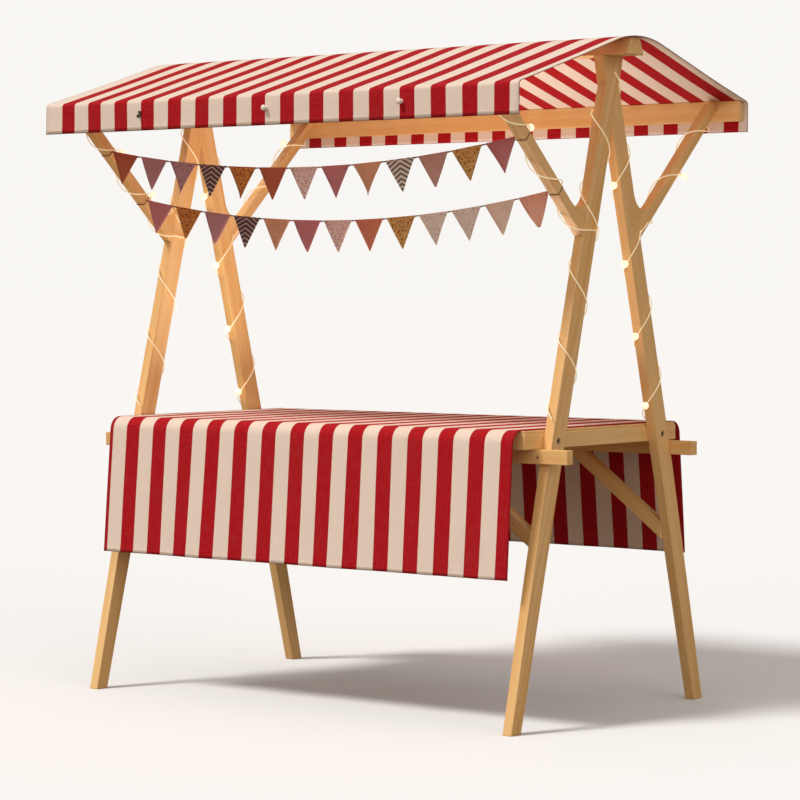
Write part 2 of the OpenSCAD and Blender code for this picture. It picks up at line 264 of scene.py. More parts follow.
class Finish:
    """A material that is being written, or with kind "worlds" a sky."""

    def __init__(self, name, kind="materials"):
        self.material = getattr(bpy.data, kind).new(name)
        self.material.use_nodes = True
        self.tree = self.material.node_tree
        self.tree.nodes.clear()

    def node(self, kind, values, out=0, **settings):
        """Adds a node, sets its settings, then its sockets, and reads one of its outputs."""
        made = self.tree.nodes.new(kind)
        for name, value in settings.items():
            setattr(made, name, value)
        for key, value in values.items():
            if isinstance(value, Reading):
                self.tree.links.new(value.socket, made.inputs[key])
            else:
                made.inputs[key].default_value = value
        return Reading(self, made.outputs[out])

    def place(self, source="Object"):
        return self.node("ShaderNodeTexCoord", {}, out=source)

    def laid(self, vector, shift=(0, 0, 0), turn=(0, 0, 0), scale=(1, 1, 1)):
        values = {"Vector": vector, "Location": shift, "Rotation": turn, "Scale": scale}
        return self.node("ShaderNodeMapping", values)

    def parts(self, vector):
        made = self.node("ShaderNodeSeparateXYZ", {"Vector": vector})
        outputs = made.socket.node.outputs
        return [Reading(self, outputs[axis]) for axis in "XYZ"]

    def clouds(self, vector, scale, detail=2.0):
        return self.node("ShaderNodeTexNoise", {"Vector": vector, "Scale": scale, "Detail": detail})

    def mix(self, share, first, second):
        values = {0: share, 6: first, 7: second}
        return self.node("ShaderNodeMix", values, out=2, data_type="RGBA")

    def surface(self, relief=None, depth=0.001, **sockets):
        """Ends the finish in a Principled shader. Socket names are written with underscores."""
        values = {name.replace("_", " "): value for name, value in sockets.items()}
        if relief is not None:
            bump = {"Height": relief, "Distance": depth, "Strength": 1.0}
            values["Normal"] = self.node("ShaderNodeBump", bump)
        return self.ended(self.node("ShaderNodeBsdfPrincipled", values))

    def ended(self, shader, kind="ShaderNodeOutputMaterial"):
        """Sends a shader to the output."""
        output = self.tree.nodes.new(kind)
        self.tree.links.new(shader.socket, output.inputs["Surface"])
        return self.material


def paint(code):
    """A colour from its six-figure screen code, made linear."""
    parts = [int(code[i:i + 2], 16) / 255 for i in (0, 2, 4)]
    return (*[p / 12.92 if p < 0.04045 else ((p + 0.055) / 1.055) ** 2.4 for p in parts], 1)


print("half grey on a screen is", round(paint("808080")[0], 3), "in linear light")

# %% [markdown]
# ## Planed pine
# A board is sawn from a trunk, so its grain is a cut through rings round a far-off pith. The finish
# does the same: it measures each point's distance from a pith line that lies outside the timber and
# leans a little, and draws a ring every few millimetres. Long faces then show running lines and
# arches, and sawn ends show arcs, with no seam at the corners. Each timber's own direction turns
# the pattern, and a shift of its own makes every board a different cut.

# %% The pine finish
PINE_PALE = paint("FBD294")
PINE_WARM = paint("F0B970")
PINE_LATE = paint("C67D3A")
PINE_KNOT = paint("6B3A1A")
PINE_OILED = paint("C78A45")
RING = 0.0052


def pine(name, along, cut):
    """Planed, oiled pine. Along is the way the grain runs, and cut picks a different board."""
    finish = Finish(name)
    side = Vector(along).orthogonal().normalized()
    way = Vector(along).normalized()
    turn = Matrix((way, side, way.cross(side))).to_euler()
    shift = (cut * 3.7, cut * 0.31, cut * 0.17)
    board = finish.laid(finish.place(), turn=turn, shift=shift)
    run, across, through = finish.parts(board)
    drift = finish.clouds(finish.laid(board, scale=(0.9, 4, 4)), 1.0, 3) - 0.5
    pith_y = across - shift[1] + 0.060 + 0.02 * sin(cut * 2.4) + run * 0.009
    pith_z = through - shift[2] + 0.038 + 0.02 * cos(cut * 1.7) - run * 0.006
    radius = (pith_y * pith_y + pith_z * pith_z).root() + drift * 0.022
    late = (0.5 + 0.5 * (radius * (tau / RING)).wave()) ** 3.0
    fibre = finish.clouds(finish.laid(board, scale=(14, 700, 700)), 1.0, 2)
    streak = finish.clouds(finish.laid(board, scale=(1.2, 30, 30)), 1.0, 3)
    spots = finish.laid(board, scale=(2.6, 9, 9))
    knots = finish.node("ShaderNodeTexVoronoi", {"Vector": spots, "Scale": 1.0, "Randomness": 0.9})
    knot = (1 - knots.ramp(0.04, 0.09)) * finish.clouds(board, 1.3, 0).ramp(0.58, 0.60)
    tone = finish.mix(streak.ramp(0.25, 0.80), PINE_PALE, PINE_WARM)
    tone = finish.mix((late * 0.26 + (fibre - 0.5) * 0.36).held(), tone, PINE_LATE)
    tone = finish.mix((knot * 0.85).held(), tone, PINE_KNOT)
    board_tone = 0.06 + 0.10 * (0.5 + 0.5 * sin(cut * 12.9898))
    tone = finish.mix(board_tone, tone, PINE_OILED)
    relief = late * -0.12 + fibre * 0.6
    return finish.surface(Base_Color=tone, Roughness=0.46 + late * 0.10 + fibre * 0.10,
                          relief=relief, depth=0.0003, Coat_Weight=0.08, Coat_Roughness=0.45)


# %% [markdown]
# ## The timbers
# In the frame a timber is a sharp block. Real planed stock has its arrises eased with a stroke of
# the plane, and that thin rounded edge is what catches the light. A copy of each node is merged
# into whole faces and its sharp edges are bevelled. The frame's own mesh stays as it is.

# %% The way each timber runs
LEG_LEAN = 0.263
BRACE_ANGLE = radians(43)
KNEE_ANGLE = radians(36.5)
ARRIS = 0.0025
ALONG_STALL = (1, 0, 0)
ACROSS_STALL = (0, 1, 0)
ENDS = (("left", -1), ("right", 1))
SIDES = (("front", -1), ("rear", 1))

timbers = {
    "ridge_beam": ALONG_STALL, "front_eave_rail": ALONG_STALL, "rear_eave_rail": ALONG_STALL,
    "front_table_beam": ALONG_STALL, "rear_table_beam": ALONG_STALL,
    "front_apron": ALONG_STALL, "rear_apron": ALONG_STALL, "table_board": ALONG_STALL,
    "left_end_apron": ACROSS_STALL, "right_end_apron": ACROSS_STALL,
}
for (end, end_sign), (side, side_sign) in product(ENDS, SIDES):
    timbers[f"{side}_{end}_leg"] = (0, -side_sign * LEG_LEAN, 1)
    timbers[f"{side}_{end}_canopy_brace"] = (0, side_sign * cos(BRACE_ANGLE), sin(BRACE_ANGLE))
    timbers[f"{side}_{end}_knee_brace"] = (-end_sign * cos(KNEE_ANGLE), 0, sin(KNEE_ANGLE))
print(len(timbers), "timbers")


# %% Easing the edges
def eased(node, finish, name):
    """A copy of a timber with whole faces and eased edges."""
    board = bmesh.new()
    board.from_mesh(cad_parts[node].data)
    bmesh.ops.remove_doubles(board, verts=board.verts, dist=1e-5)
    bmesh.ops.dissolve_limit(board, angle_limit=radians(0.5), verts=board.verts, edges=board.edges)
    sharp = [edge for edge in board.edges
             if edge.is_manifold and edge.calc_face_angle() > radians(25)]
    bmesh.ops.bevel(board, geom=sharp, offset=ARRIS, segments=3, profile=0.5, affect="EDGES",
                    material=-1, clamp_overlap=True)
    piece = piece_from(smoothed(board), name, finish, slot="pine", stands_for=[node])
    piece.data.set_sharp_from_angle(angle=radians(33))
    return piece


dressed = {}
for cut, (node, way) in enumerate(timbers.items(), start=1):
    dressed[node] = eased(node, pine(f"pine_{cut:02d}", way, cut), f"{node}_planed")
print("eased", len(dressed), "timbers by", ARRIS * 1000, "mm")

# %% [markdown]
# ## Bolts and screws
# A bolt through each leg holds the table's end apron, and a screw through each long beam holds it
# to its leg. Their heads sit below the surface in bored holes, which read as dark spots. The holes
# are real: a drill shape is cut from the timber and a turned head is set at the bottom. A bolt's
# hole also gets a cup washer, which gives it a light rim. A Weighted Normal modifier then lets the
# big faces decide the shading, so that they look flat right up to their eased edges and the holes.


# %% Boring a hole
def bore(piece, place, axis, width, depth):
    """Cuts a round hole of that width and depth into a timber."""
    outline = [(0, -depth), (width / 2, -depth), (width / 2, 0), (width / 2 + 0.002, 0.002),
               (0, 0.002)]
    drill_form = moved(turned(outline, 24), facing(place, axis))
    drill = bpy.data.objects.new("drill", mesh_of(drill_form, "drill"))
    scene.collection.objects.link(drill)
    cut = piece.modifiers.new("hole", "BOOLEAN")
    cut.operation = "DIFFERENCE"
    cut.solver = "EXACT"
    cut.object = drill
    bpy.context.view_layer.update()
    whole = piece.evaluated_get(bpy.context.evaluated_depsgraph_get())
    bored = bpy.data.meshes.new_from_object(whole)
    piece.modifiers.remove(cut)
    piece.data = bored
    bpy.data.objects.remove(drill)


def steel(name, colour, roughness):
    """Blackened or bright steel with a faint turned texture."""
    finish = Finish(name)
    specks = finish.clouds(finish.place(), 900, 2)
    tone = finish.mix(specks * 0.5, colour, paint("2A2622"))
    return finish.surface(Base_Color=tone, Metallic=0.9, Roughness=roughness + specks * 0.15,
                          relief=specks, depth=0.0001)


BOLT_D = 0.016
BOLT_DEPTH = 0.007
SCREW_D = 0.009
SCREW_DEPTH = 0.007
dark_steel = steel("dark_steel", paint("3A322C"), 0.5)
bright_steel = steel("bright_steel", paint("E6D2AC"), 0.4)


def sunk_head(width, depth):
    """A domed head with a socket, at the bottom of a hole."""
    r = width / 2 - 0.0004
    rim = depth - 0.0048
    dome = [(0, -depth), (r, -depth), (r, -rim - 0.001), (r * 0.8, -rim), (r * 0.45, -rim + 0.0006),
            (r * 0.42, -rim - 0.0012), (0, -rim - 0.0012)]
    return turned(dome, 24)


def cup_ring(width):
    """The pale cup washer round a hole's mouth."""
    r = width / 2
    ring = [(r - 0.0002, -0.0012), (r + 0.0004, 0.0006), (r + 0.0014, 0.0010), (r + 0.0028, 0.0005),
            (r + 0.0032, -0.0012), (r - 0.0002, -0.0012)]
    return turned(ring, 32)


# %% Boring and filling the holes
leg_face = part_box("rear_right_leg")[1].x
apron_low, apron_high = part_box("right_end_apron")
beam_low, beam_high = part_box("rear_table_beam")
bolt_z = (apron_low.z + apron_high.z) / 2
bolt_y = 0.300
screw_x = leg_face - 0.028
screw_z = (beam_low.z + beam_high.z) / 2 - 0.002
heads = []
rings = []
for (end, end_sign), (side, side_sign) in product(ENDS, SIDES):
    bolt_at = Vector((end_sign * leg_face, side_sign * bolt_y, bolt_z))
    screw_at = Vector((end_sign * screw_x, side_sign * beam_high.y, screw_z))
    for node, place, axis, width, depth in (
            (f"{side}_{end}_leg", bolt_at, (end_sign, 0, 0), BOLT_D, BOLT_DEPTH),
            (f"{side}_table_beam", screw_at, (0, side_sign, 0), SCREW_D, SCREW_DEPTH)):
        bore(dressed[node], place, axis, width, depth)
        heads.append(moved(sunk_head(width, depth), facing(place, axis)))
    rings.append(moved(cup_ring(BOLT_D), facing(bolt_at, (end_sign, 0, 0))))
for timber in dressed.values():
    flats = timber.modifiers.new("flat faces", "WEIGHTED_NORMAL")
    flats.keep_sharp = True
piece_from(joined(heads), "bolt_heads", dark_steel)
piece_from(joined(rings), "cup_rings", bright_steel)
print("bored", len(heads), "holes")

# %% [markdown]
# ## Striped cloth
# Awning cloth is woven with its stripes dyed in, so a stripe's edge is crisp but follows the
# thread. The finish reads the cloth's own flat coordinates in metres: the first is how far across
# the stripes, the second how far along them. A sine wave cut at the right height gives stripes of
# any width. Round the edge runs a folded hem with one row of stitches and an overlocked rim.
# Threads, slubs and soft creases go into the relief.


# %% The cloth finish
def striped_cloth(name, ground, stripe, pitch, width, middle, plain, size, hem, edging):
    """Stripes of that width and pitch, the first one's middle given, plain near the first edge."""
    finish = Finish(name)
    flat = finish.place("UV")
    u, v, _ = finish.parts(flat)
    cloth = finish.place()
    waver = (finish.clouds(flat, 60, 2) - 0.5) * 0.0010
    crisp = pitch / (tau * 0.0012)
    turn = (u + waver - (middle - pitch / 4)) * (tau / pitch)
    in_stripe = ((turn.wave() - cos(pi * width / pitch)) * crisp + 0.5).held() * u.above(plain)
    slub = finish.clouds(finish.laid(flat, scale=(900, 22, 1)), 1.0, 2)
    pick = finish.clouds(finish.laid(flat, scale=(22, 900, 1)), 1.0, 2)
    tone = finish.mix(in_stripe, ground, stripe)
    tone = finish.mix(((slub + pick - 0.95) * 0.10).held(), tone, paint("FFF1E2"))
    tone = finish.mix(((1.0 - slub - pick) * 0.22).held(), tone, paint("4A0A0A"))
    soil = finish.clouds(cloth, 5.0, 4).ramp(0.48, 0.85) * 0.05
    tone = finish.mix(soil, tone, paint("7A6452"))
    edge = u.least(size[0] - u).least(v.least(size[1] - v))
    tone = finish.mix((1 - edge.ramp(0.0008, 0.0018)) * 0.85, tone, edging)
    off_seam = abs(edge - hem * 0.80)
    in_seam = (1 - off_seam.ramp(0.0004, 0.0009)) * ((u + v) * (tau / 0.006)).wave().ramp(-0.3, 0.0)
    tone = finish.mix(in_seam * 0.16, tone, paint("8A5A4C"))
    puckers = (1 - off_seam.ramp(0.0, 0.006)) * finish.clouds(cloth, 120, 1)
    weave = (u * (tau / 0.0013)).wave() * (v * (tau / 0.0013)).wave()
    creases = finish.clouds(finish.laid(flat, scale=(6, 2.6, 1)), 1.0, 3)
    relief = weave * 0.06 + creases * 1.6 + puckers * 0.5 - in_seam * 0.2 + slub * 0.12
    return finish.surface(Base_Color=tone, Roughness=0.88 - slub * 0.1, relief=relief, depth=0.002,
                          Sheen_Weight=0.02, Specular_IOR_Level=0.06)


# %% [markdown]
# ## Laying a flat cloth over its supports
# A canopy or tablecloth is one flat piece that is bent in one direction only. So the shape starts
# as a flat grid, and its section is described as a pen would draw it: run level, turn down round a
# crest, run straight, turn round the eave, hang. Each stretch has a length and a turn. The fabric
# keeps its length by itself, which separate flat panels wouldn't.


# %% Drawing a cloth's section
def section(stretches):
    """How far out, how far up and how steeply down a cloth is, after a run from its middle."""

    def at(run):
        out = up = heading = 0.0
        for length, turn in stretches:
            part = min(run, length)
            bend = turn / length
            if bend:
                out += (sin(heading + bend * part) - sin(heading)) / bend
                up += (cos(heading + bend * part) - cos(heading)) / bend
            else:
                out += part * cos(heading)
                up -= part * sin(heading)
            heading += bend * part
            run -= part
            if run <= 1e-9:
                break
        return out, up, heading

    return at


def stations(stretches, straight_step, bend_steps):
    """Where a cloth gets a row of points: often on a bend, seldom on a straight stretch."""
    runs = [0.0]
    for length, turn in stretches:
        count = bend_steps if turn else max(1, round(length / straight_step))
        start = runs[-1]
        runs += [start + length * (i + 1) / count for i in range(count)]
    return runs


def with_hem(places, hem):
    """The same stations with a row just inside each end, for the hem's fold."""
    inner = [p for p in places if places[0] + hem * 1.2 < p < places[-1] - hem * 1.2]
    return [places[0], places[0] + hem, *inner, places[-1] - hem, places[-1]]


def lay_out(form, sheet_map, flat):
    """Gives each point's flat coordinates to the finish, as a map."""
    for face in form.faces:
        for corner in face.loops:
            corner[sheet_map].uv = flat[corner.vert]


def lay_cloth(name, across, along, shape, finish, hem, thickness, slot, stands_for):
    """Bends a flat grid of those stations by shape(u, v), and thickens it, twice at the hem."""
    form = bmesh.new()
    columns, rows = len(across) - 1, len(along) - 1
    bmesh.ops.create_grid(form, x_segments=columns, y_segments=rows, size=0.5)
    sheet_map = form.loops.layers.uv.new("flat")
    weights = form.verts.layers.deform.new()
    flat = {}
    for point in form.verts:
        column = round((point.co.x + 0.5) * columns)
        row = round((point.co.y + 0.5) * rows)
        u, v = across[column], along[row]
        flat[point] = (u - across[0], v - along[0])
        edge = min(u - across[0], across[-1] - u, v - along[0], along[-1] - v)
        point[weights][0] = 1.0 if edge <= hem * 1.01 else 0.5
        point.co = shape(u, v)
    lay_out(form, sheet_map, flat)
    cloth = piece_from(smoothed(form), name, finish, slot=slot, stands_for=stands_for)
    cloth.vertex_groups.new(name="hem")
    shell = cloth.modifiers.new("thickness", "SOLIDIFY")
    shell.thickness = thickness
    shell.offset = 0
    shell.vertex_group = "hem"
    shell.use_rim = True
    return cloth


# %% [markdown]
# ## The canopy
# The canopy cloth is stiff: it bows over the ridge beam in a wide arc instead of folding at it,
# runs down to each eave rail, turns round the rail and hangs as a straight valance. Red stripes
# with cream ones a little wider between them run from hem to hem, and cream is outermost at both
# ends. It was sewn a touch off centre, so its right end stands out further. The free lower edge
# wavers a few millimetres, more towards the hem, where nothing holds it.

# %% The canopy cloth
RED = paint("B00A19")
CREAM = paint("EFDACB")
MAROON = paint("7A1424")
roof_low, roof_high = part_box("front_roof_cloth")
valance_low, valance_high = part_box("front_valance")
CANOPY_T = 0.0022
CANOPY_HEM = 0.014
CANOPY_ENDS = (-0.988, 1.003)
STRIPE_PITCH = 0.1215
STRIPE_W = 0.0585
ROOF_ANGLE = radians(16.7)
CREST_R = 0.4485
EAVE_R = 0.014
below_face = 0.0015
eave_y = -roof_low.y - below_face
crest_z = roof_high.z - below_face
eave_turn = pi / 2 - ROOF_ANGLE
slope_start = CREST_R * sin(ROOF_ANGLE)
to_corner = (eave_y - slope_start) / cos(ROOF_ANGLE)
corner_z = crest_z - CREST_R * (1 - cos(ROOF_ANGLE)) - to_corner * sin(ROOF_ANGLE)
eave_cut = EAVE_R * tan(eave_turn / 2)
canopy_run = [
    (CREST_R * ROOF_ANGLE, ROOF_ANGLE),
    (to_corner - eave_cut, 0),
    (EAVE_R * eave_turn, eave_turn),
    (corner_z - eave_cut - valance_low.z, 0),
]
canopy_section = section(canopy_run)
half_canopy = sum(length for length, _ in canopy_run)
half_rows = stations(canopy_run, 0.030, 8)
canopy_rows = with_hem([-run for run in reversed(half_rows)] + half_rows[1:], CANOPY_HEM)
canopy_l = CANOPY_ENDS[1] - CANOPY_ENDS[0]
canopy_columns = with_hem([CANOPY_ENDS[0] + canopy_l * i / 99 for i in range(100)], CANOPY_HEM)
slack_start = half_canopy - canopy_run[3][0]


def canopy_shape(x, run):
    """Where a point of the canopy cloth lies. Negative runs are on the customer's side."""
    side = 1 if run > 0 else -1
    out, up, heading = canopy_section(abs(run))
    hang = max(0.0, abs(run) - slack_start) / canopy_run[3][0]
    flutter = noise.noise(Vector((x * 3.1, side * 4.0, 1.5))) * 0.0045 * hang ** 1.5
    free = sin(pi * min(1.0, max(0.0, abs(run) - 0.10) / (slack_start - 0.12)))
    dip = (noise.noise(Vector((x * 2.2, run * 3.0, 7.0))) - 0.7) * 0.0022 * free
    out += dip * sin(heading) + flutter
    up += dip * cos(heading)
    return Vector((x, side * out, crest_z + up))


canopy_flat = (canopy_l, 2 * half_canopy)
first_red = 0.104
canopy_finish = striped_cloth("canopy_stripes", CREAM, RED, STRIPE_PITCH, STRIPE_W, first_red,
                              0.020, canopy_flat, CANOPY_HEM, MAROON)
canopy = lay_cloth("canopy_cloth", canopy_columns, canopy_rows, canopy_shape, canopy_finish,
                   CANOPY_HEM, CANOPY_T, "canopy_stripe",
                   ["front_roof_cloth", "rear_roof_cloth", "front_valance", "rear_valance"])
print("canopy cloth, flat:", [round(side, 3) for side in canopy_flat],
      "with", round(canopy_l / STRIPE_PITCH), "red stripes")

# %% [markdown]
# ## The tablecloth
# The tablecloth is as wide as the space between the side frames. It lies flat on the board and
# leaves it in a soft roll of 45 mm radius, because the cloth is too stiff for a sharp fold. Then
# it leans out a little to its hem. It was cut through a red stripe at both ends, so a narrower one
# is left at the right edge and a sliver at the left.

# %% The tablecloth
CLOTH_T = 0.0018
CLOTH_PITCH = 0.1224
CLOTH_STRIPE_W = 0.0602
CLOTH_HEM = 0.012
top_low, top_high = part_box("tablecloth_top")
drops = {-1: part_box("tablecloth_front_drop"), 1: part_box("tablecloth_rear_drop")}
cloth_middle_z = top_high.z - 0.00125
table_top_z = top_high.z
roll_y = top_high.y
ROLL_R = 0.04475
flare = radians(4.5)
roll_turn = pi / 2 - flare
roll_end_z = cloth_middle_z - ROLL_R * (1 - cos(roll_turn))


def drop_run(side):
    """The stretches of the cloth from the table's middle to the hem on one side."""
    hem_z = drops[side][0].z
    return [(roll_y, 0), (ROLL_R * roll_turn, roll_turn), ((roll_end_z - hem_z) / cos(flare), 0)]


cloth_runs = {side: drop_run(side) for side in (-1, 1)}
cloth_sections = {side: section(run) for side, run in cloth_runs.items()}
front_rows = stations(cloth_runs[-1], 0.035, 10)
rear_rows = stations(cloth_runs[1], 0.035, 10)
cloth_rows = with_hem([-run for run in reversed(front_rows)] + rear_rows[1:], CLOTH_HEM)
cloth_w = top_high.x - top_low.x
cloth_columns = with_hem([-top_high.x + cloth_w * i / 90 for i in range(91)], CLOTH_HEM)
roll_end = roll_y + ROLL_R * roll_turn


def cloth_shape(from_right, run):
    """Where a point of the tablecloth lies. It is measured leftwards from its right edge."""
    side = 1 if run > 0 else -1
    x = -from_right
    out, up, heading = cloth_sections[side](abs(run))
    hang = max(0.0, abs(run) - roll_end) / cloth_runs[side][2][0]
    folds = sin(x * 11.3 + 0.8 + side) * 0.6 + sin(x * 21.0 + 2.2 * side) * 0.4
    sway = folds * 0.0055 * hang ** 1.3 + noise.noise(Vector((x * 4, run * 3, 3))) * 0.003 * hang
    rumple = noise.noise(Vector((x * 5.0, run * 5.0, 9.0))) * 0.0004
    lean = 0.004 * hang * sin(x * 2.4)
    return Vector((x + lean, side * (out + sway), cloth_middle_z + up + rumple * (1 - hang)))


cloth_flat = (cloth_w, front_rows[-1] + rear_rows[-1])
cloth_finish = striped_cloth("tablecloth_stripes", CREAM, RED, CLOTH_PITCH, CLOTH_STRIPE_W, 0.0166,
                             -0.1, cloth_flat, CLOTH_HEM, MAROON)
tablecloth = lay_cloth("tablecloth", cloth_columns, cloth_rows, cloth_shape, cloth_finish,
                       CLOTH_HEM, CLOTH_T, "tablecloth_stripe",
                       ["tablecloth_top", "tablecloth_front_drop", "tablecloth_rear_drop"])
print("tablecloth, flat:", [round(side, 3) for side in cloth_flat])

# %% [markdown]
# ## Printed cottons for the flags
# Bunting is sewn from scraps, so its charm is that neighbours differ: plain rust, mauve and rose,
# dots, chevrons, fine diagonals and a small all-over print. Each print is a short formula on the
# flag's own flat coordinates, measured from the middle of its top edge. All of them share one
# woven surface.


# %% Cotton prints
def cotton(name, ground, print_on=None):
    """Thin woven cotton in a ground colour, with a print added by print_on(finish, u, v, tone)."""
    finish = Finish(name)
    flat = finish.place("UV")
    u, v, _ = finish.parts(flat)
    thread = (u * (tau / 0.0008)).wave() * (v * (tau / 0.0008)).wave()
    slub = finish.clouds(finish.laid(flat, scale=(700, 60, 1)), 1.0, 2)
    tone = finish.mix(slub * 0.12, paint(ground), paint("F5EAE0"))
    if print_on:
        tone = print_on(finish, u, v, tone)
    shade = finish.clouds(finish.place(), 16, 3).ramp(0.35, 0.8) * 0.12
    tone = finish.mix(shade, tone, paint("4A342C"))
    relief = thread * 0.05 + slub * 0.2 + finish.clouds(finish.place(), 30, 2) * 1.2
    return finish.surface(Base_Color=tone, Roughness=0.9 - slub * 0.1, relief=relief, depth=0.001,
                          Sheen_Weight=0.04, Specular_IOR_Level=0.12)


def chevrons(line, pitch, share):
    """Zigzag lines that peak at the flag's middle."""
    def add(finish, u, v, tone):
        peaks = (v - abs(u) * 0.58) * (tau / pitch)
        lit = peaks.wave().ramp(share - 0.12, share + 0.12)
        return finish.mix(lit, tone, paint(line))
    return add


def diagonals(line, pitch):
    """Fine slanting stripes."""
    def add(finish, u, v, tone):
        return finish.mix(((u + v) * (tau / pitch)).wave().ramp(-0.25, 0.25), tone, paint(line))
    return add


def scattered(spot, cell, size, second=None):
    """Small round spots scattered over the cloth, and a few of a second colour."""
    def add(finish, u, v, tone):
        flat = finish.place("UV")
        values = {"Vector": flat, "Scale": 1 / cell, "Randomness": 0.8}
        far = finish.node("ShaderNodeTexVoronoi", values)
        tone = finish.mix(1 - far.ramp(size, size + 0.10), tone, paint(spot))
        if second:
            values = {"Vector": finish.laid(flat, shift=(0.4, 0.7, 0)), "Scale": 0.62 / cell}
            far = finish.node("ShaderNodeTexVoronoi", values)
            tone = finish.mix(1 - far.ramp(size * 0.8, size * 0.8 + 0.10), tone, paint(second))
        return tone
    return add


COTTONS = {
    "rust": ("BA502A",),
    "mauve": ("BC7E84",),
    "mauve_dots": ("B8848A", scattered("701C40", 0.011, 0.22)),
    "dark_chevron": ("3A2024", chevrons("CBA09A", 0.0165, 0.55)),
    "orange_print": ("BC6A1E", scattered("E8A040", 0.0064, 0.34, "9A4A18")),
    "rose": ("C8747A",),
    "pink_specks": ("F4CEC6", scattered("8E2A2E", 0.0056, 0.27)),
    "peach": ("DE9A78", scattered("E8B08C", 0.0085, 0.34)),
    "grey_chevron": ("6E625C", chevrons("F0E0D0", 0.0165, 0.0)),
    "diagonal": ("9A5850", diagonals("F0C0B4", 0.0062)),
    "gold_print": ("D29A50", scattered("EEC07A", 0.0068, 0.32, "A2602C")),
    "brick": ("D87858",),
    "cream_print": ("EEDCD0", scattered("B8847C", 0.009, 0.20)),
    "beige": ("EED0BE",),
    "salmon": ("F2AC92",),
}
cottons = {kind: cotton(f"cotton_{kind}", *recipe) for kind, recipe in COTTONS.items()}
print(len(cottons), "cottons")

# %% [markdown]
# ## The flags
# Each flag is a triangle of cotton whose top edge is folded over the cord. It hangs from two
# corners, so its tip is free to curl. A small grid is pinched to a point, curled by a seeded amount
# and set on its line, turned to the line's slope. The flags of one line are one piece.

# %% The flags
FLAG_W = 0.118
FLAG_H = 0.106
FLAGS = 13
FLAG_T = 0.0007
prints = {
    "upper": ["rust", "mauve", "mauve_dots", "dark_chevron", "orange_print", "rust",
              "pink_specks", "rose", "peach", "grey_chevron", "diagonal", "gold_print", "rose"],
    "lower": ["rose", "orange_print", "mauve", "dark_chevron", "peach", "rose", "pink_specks",
              "brick", "gold_print", "cream_print", "cream_print", "beige", "salmon"],
}


def flag(seed, material):
    """One flag, hung from the origin: a fold round the cord, then a curled triangle."""
    form = bmesh.new()
    columns, rows = 8, 12
    bmesh.ops.create_grid(form, x_segments=columns, y_segments=rows, size=0.5)
    sheet_map = form.loops.layers.uv.new("flat")
    curl = 0.5 + noise.noise(Vector((seed * 1.7, 0.3, 0)))
    twist = noise.noise(Vector((seed * 2.3, 5.1, 0)))
    flat = {}
    for point in form.verts:
        across, down = point.co.x * 2, 0.5 - point.co.y
        u, v = across * FLAG_W / 2 * (1 - down * 0.985), down * FLAG_H
        flat[point] = (u, v)
        bow = (0.007 * curl * (1 - across * across) + 0.012 * twist * across) * sin(pi * down * 0.8)
        tip = 0.010 * (curl - 0.6) * down ** 2
        point.co = (u, -LINE_D / 2 - 0.0006 - bow - tip, 0.0012 - v)
    lay_out(form, sheet_map, flat)
    bmesh.ops.bisect_plane(form, geom=form.verts[:] + form.edges[:] + form.faces[:],
                           plane_co=(0, 0, 0.0012 - FLAG_H * 0.985), plane_no=(0, 0, -1),
                           clear_outer=True)
    return smoothed(form, material)


def fold_over(seed, material):
    """The narrow fold that carries a flag on its cord."""
    form = bmesh.new()
    half = FLAG_W / 2
    r = LINE_D / 2 + 0.0009
    rim = [form.verts.new((-half, -r * cos(a), r * sin(a)))
           for a in [radians(angle) for angle in range(-70, 251, 32)]]
    edges = [form.edges.new(pair) for pair in zip(rim, rim[1:])]
    made = bmesh.ops.extrude_edge_only(form, edges=edges)["geom"]
    moving = [part for part in made if isinstance(part, bmesh.types.BMVert)]
    bmesh.ops.translate(form, verts=moving, vec=(FLAG_W, 0, 0))
    sheet_map = form.loops.layers.uv.new("flat")
    lay_out(form, sheet_map, {point: (point.co.x, point.co.z - r) for point in form.verts})
    bmesh.ops.recalc_face_normals(form, faces=form.faces)
    return smoothed(form, material)


for level, names in prints.items():
    line = lines[level]
    pitch = 2 * line.end_x / FLAGS
    kinds = sorted(set(names))
    forms = []
    for i, name in enumerate(names):
        x = (i + 0.5) * pitch - line.end_x
        set_on = Matrix.Translation(line.at(x)) @ Matrix.Rotation(-line.slope(x), 4, "Y")
        seed = i + 20 * (level == "lower")
        forms.append(moved(flag(seed, kinds.index(name)), set_on))
        forms.append(moved(fold_over(seed, kinds.index(name)), set_on))
    row = piece_from(joined(forms), f"{level}_flags", *[cottons[kind] for kind in kinds],
                     slot="flag_cotton", stands_for=[f"{level}_bunting_flags"])
    shell = row.modifiers.new("thickness", "SOLIDIFY")
    shell.thickness = FLAG_T
    shell.offset = 0

# %% [markdown]
# ## Cord for the bunting
# The line is a brown twisted cord, too thin to show more than its lay. Where it meets a brace it is
# passed round the timber and drawn tight.


# %% The cord's finish and its lashings
def twisted(name, light, dark, lay):
    """A twisted cord: slanting strands in two tones."""
    finish = Finish(name)
    x, y, z = finish.parts(finish.place())
    strands = ((x + y * 0.7 + z * 1.3) * (tau / lay)).wave()
    tone = finish.mix(0.5 + strands * 0.5, paint(dark), paint(light))
    return finish.surface(Base_Color=tone, Roughness=0.85, relief=strands, depth=0.0004)


cord_finish = twisted("brown_cord", "7E5240", "4A2C24", 0.0035)
for cord in cords.values():
    cord.data.materials.append(cord_finish)

brace_low, brace_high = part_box("front_right_canopy_brace")
brace_half = (brace_high.x - brace_low.x) / 2
brace_x = brace_low.x + brace_half
LASHING_D = 0.0024
brace_out = Vector((0, sin(BRACE_ANGLE), cos(BRACE_ANGLE)))


